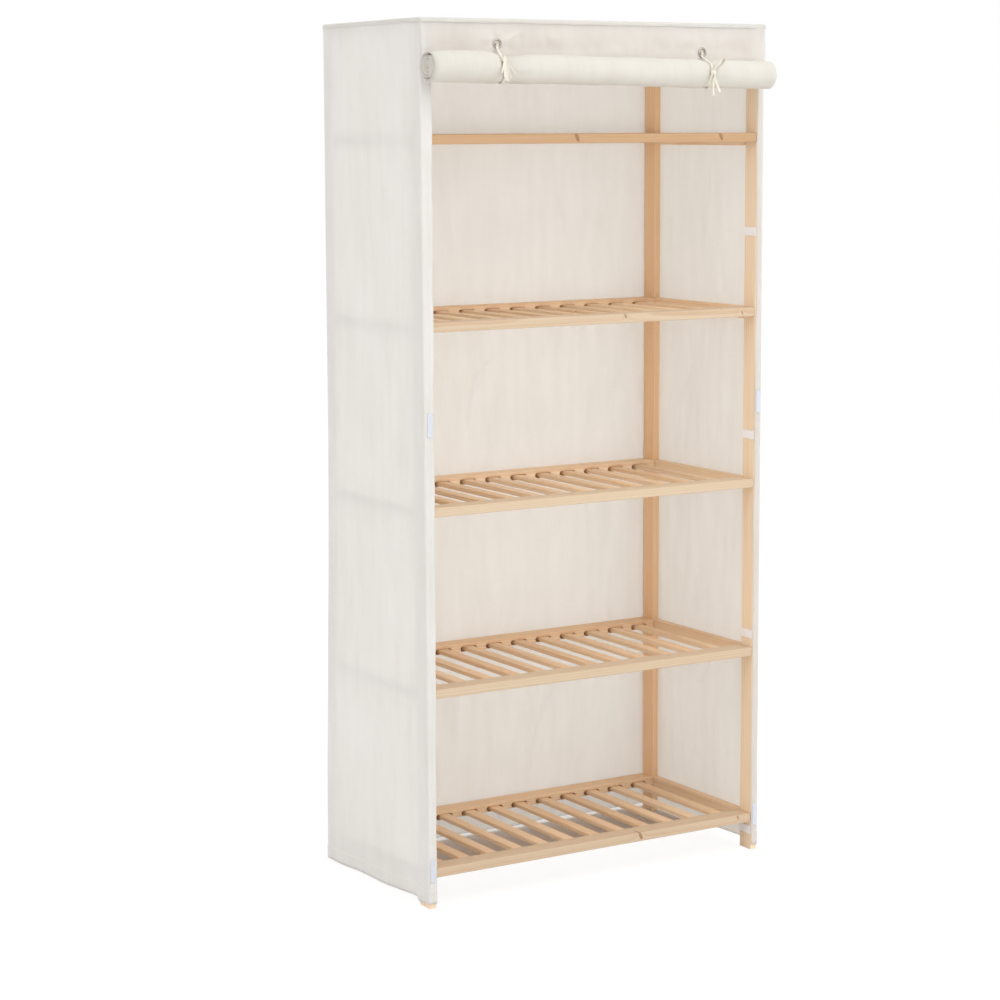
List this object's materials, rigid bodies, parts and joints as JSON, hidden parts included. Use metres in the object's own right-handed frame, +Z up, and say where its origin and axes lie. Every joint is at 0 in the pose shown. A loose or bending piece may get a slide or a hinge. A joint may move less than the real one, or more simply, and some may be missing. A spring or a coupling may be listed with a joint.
{
  "type": "portable fabric wardrobe",
  "caption": "Pine frame with slatted shelves inside a sewn canvas cover, its front flap rolled up and tied under the top edge.",
  "frame": {"origin": "on the floor, under the middle of the whole part's box, the rolled door included", "axes": "+Z up, +Y towards the back, +X to the right of someone who faces the open front"},
  "size_m": [0.79, 0.4748, 1.7],
  "materials": {
    "post_pine": "bare sanded pine, satin",
    "rail_pine": "bare sanded pine, satin, lighter than the posts",
    "canvas": "plain woven cotton-look canvas, matt, cream white",
    "tape": "white woven tape, matt",
    "hook_and_loop": "white looped fastening tape, matt",
    "eyelet_metal": "nickel-plated pressed steel"
  },
  "bodies": {
    "frame_and_cover": {"post_front_left": "post_pine", "post_front_right": "post_pine", "post_back_left": "post_pine", "post_back_right": "post_pine", "rung_left_1": "post_pine", "rung_left_2": "post_pine", "rung_left_3": "post_pine", "rung_left_4": "post_pine", "rung_left_5": "post_pine", "rung_left_6": "post_pine", "rung_right_1": "post_pine", "rung_right_2": "post_pine", "rung_right_3": "post_pine", "rung_right_4": "post_pine", "rung_right_5": "post_pine", "rung_right_6": "post_pine", "shelf_1": "rail_pine", "shelf_2": "rail_pine", "shelf_3": "rail_pine", "shelf_4": "rail_pine", "stretcher_front": "rail_pine", "stretcher_back": "rail_pine", "top_rail_front": "rail_pine", "top_rail_back": "rail_pine", "cover_roof": "canvas", "cover_back": "canvas", "cover_left": "canvas", "cover_right": "canvas", "front_return_left": "canvas", "front_return_right": "canvas", "roof_piping": "canvas", "door_header": "canvas", "door_panel": "canvas", "patch_left_1": "hook_and_loop", "patch_left_2": "hook_and_loop", "patch_right_1": "hook_and_loop", "patch_right_2": "hook_and_loop", "strap_left_1": "tape", "strap_left_2": "tape", "strap_left_3": "tape", "strap_left_4": "tape", "strap_right_1": "tape", "strap_right_2": "tape", "strap_right_3": "tape", "strap_right_4": "tape", "tie_left": "tape", "tie_right": "tape", "eyelet_left": "eyelet_metal", "eyelet_right": "eyelet_metal", "eyelet_washer_left": "eyelet_metal", "eyelet_washer_right": "eyelet_metal"},
    "door_roll": {"door_roll": "canvas"}
  },
  "joints": [
    {"name": "door_unroll", "type": "slide", "parent": "frame_and_cover", "child": "door_roll", "axis": [0, 0, -1], "range_m": [0, 1.555], "deforming": ["door_panel", "tie_left", "tie_right"]}
  ]
}
